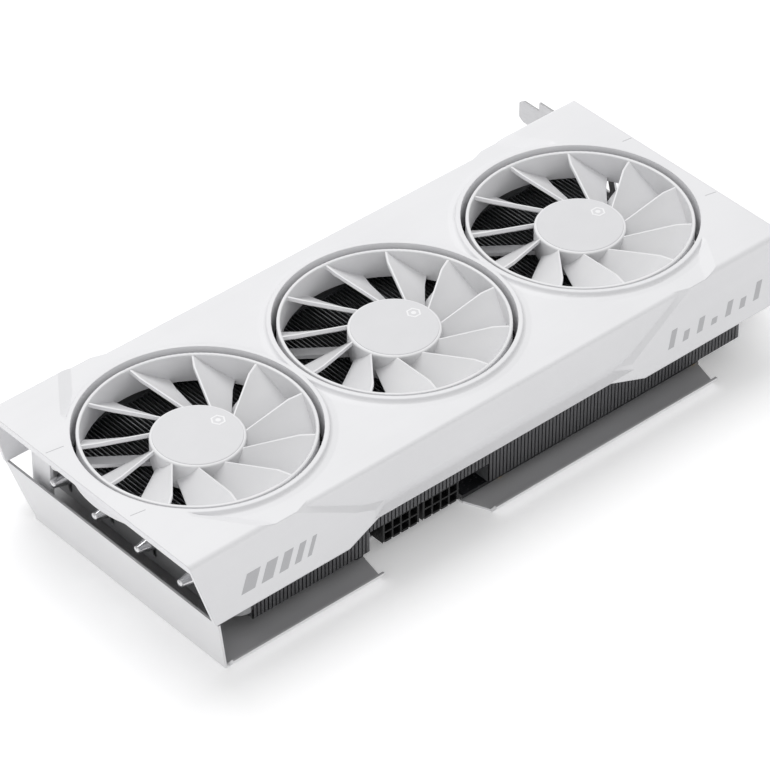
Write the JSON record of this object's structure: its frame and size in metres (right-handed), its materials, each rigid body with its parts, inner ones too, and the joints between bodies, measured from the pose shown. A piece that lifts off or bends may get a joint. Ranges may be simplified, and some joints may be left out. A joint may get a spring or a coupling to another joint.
{
  "type": "graphics card",
  "caption": "Graphics card with three axial fans in a row, a moulded cover, a fin and heat-pipe cooler, a sheet backplate with flanges, power sockets and a two-slot bracket.",
  "frame": {"origin": "on the outer back face of the backplate, below the middle fan's axis", "axes": "+X along the card towards the slot bracket, +Y towards the slot edge, +Z from the backplate to the fans"},
  "size_m": [0.3073, 0.1548, 0.0516],
  "materials": {
    "cover_plastic": "white moulded plastic, fine satin grain",
    "rotor_plastic": "white moulded plastic, satin",
    "hub_disc": "pale grey printed disc",
    "magnet": "bonded ferrite",
    "steel": "ground steel",
    "bronze": "sintered bronze",
    "stator": "laminated steel with enamelled copper coils",
    "motor_plastic": "white moulded plastic",
    "fin_aluminium": "bare stamped aluminium, dark in its own shade",
    "end_plate": "formed aluminium sheet",
    "pipe_nickel": "nickel-plated copper",
    "copper": "nickel-free milled copper",
    "block_aluminium": "milled aluminium",
    "pad": "soft grey thermal pad",
    "board": "black solder mask",
    "gold": "hard gold plating",
    "package": "dark laminate",
    "silicon": "polished silicon",
    "chip_black": "black moulding compound",
    "choke": "grey pressed ferrite",
    "can": "drawn can",
    "socket_black": "black nylon",
    "contact": "tinned brass",
    "bracket": "nickel-plated steel sheet",
    "shell": "tinned steel shell",
    "back_sheet": "white powder-coated aluminium sheet",
    "clamp": "spring steel",
    "screw": "black zinc steel",
    "standoff": "turned brass"
  },
  "bodies": {
    "card": {"backplate": "back_sheet", "backplate_screws": "screw", "base_block": "block_aluminium", "board": "board", "bracket": "bracket", "bracket_screws": "screw", "capacitors": "can", "chokes": "choke", "clamp_frame": "clamp", "clamp_screws": "screw", "cold_plate": "copper", "cover": "cover_plastic", "cover_screws": "screw", "displayport_sockets": "shell", "fan_bearing_left": "bronze", "fan_bearing_middle": "bronze", "fan_bearing_right": "bronze", "fan_header": "chip_black", "fan_screws": "screw", "fin_end_plate": "end_plate", "fin_stack": "fin_aluminium", "hdmi_sockets": "shell", "heat_pipe_1": "pipe_nickel", "heat_pipe_2": "pipe_nickel", "heat_pipe_3": "pipe_nickel", "heat_pipe_4": "pipe_nickel", "memory_chips": "chip_black", "memory_pads": "pad", "memory_plate": "block_aluminium", "motor_base_left": "motor_plastic", "motor_base_middle": "motor_plastic", "motor_base_right": "motor_plastic", "power_socket_left": "socket_black", "power_socket_right": "socket_black", "power_transistors": "chip_black", "processor_die": "silicon", "processor_package": "package", "regulator_pads": "pad", "regulator_plates": "block_aluminium", "slot_contacts": "gold", "socket_pins": "contact", "standoffs": "standoff", "stator_left": "stator", "stator_middle": "stator", "stator_right": "stator"},
    "left_fan": {"fan_rotor_left": "rotor_plastic", "hub_disc_left": "hub_disc", "rotor_magnet_left": "magnet", "fan_shaft_left": "steel"},
    "middle_fan": {"fan_rotor_middle": "rotor_plastic", "hub_disc_middle": "hub_disc", "rotor_magnet_middle": "magnet", "fan_shaft_middle": "steel"},
    "right_fan": {"fan_rotor_right": "rotor_plastic", "hub_disc_right": "hub_disc", "rotor_magnet_right": "magnet", "fan_shaft_right": "steel"}
  },
  "joints": [
    {"name": "left_fan_spin", "type": "hinge", "parent": "card", "child": "left_fan", "pos_m": [-0.096, 0, 0.042], "axis": [0, 0, 1], "continuous": true},
    {"name": "middle_fan_spin", "type": "hinge", "parent": "card", "child": "middle_fan", "pos_m": [0, 0, 0.042], "axis": [0, 0, 1], "continuous": true},
    {"name": "right_fan_spin", "type": "hinge", "parent": "card", "child": "right_fan", "pos_m": [0.096, 0, 0.042], "axis": [0, 0, 1], "continuous": true}
  ]
}
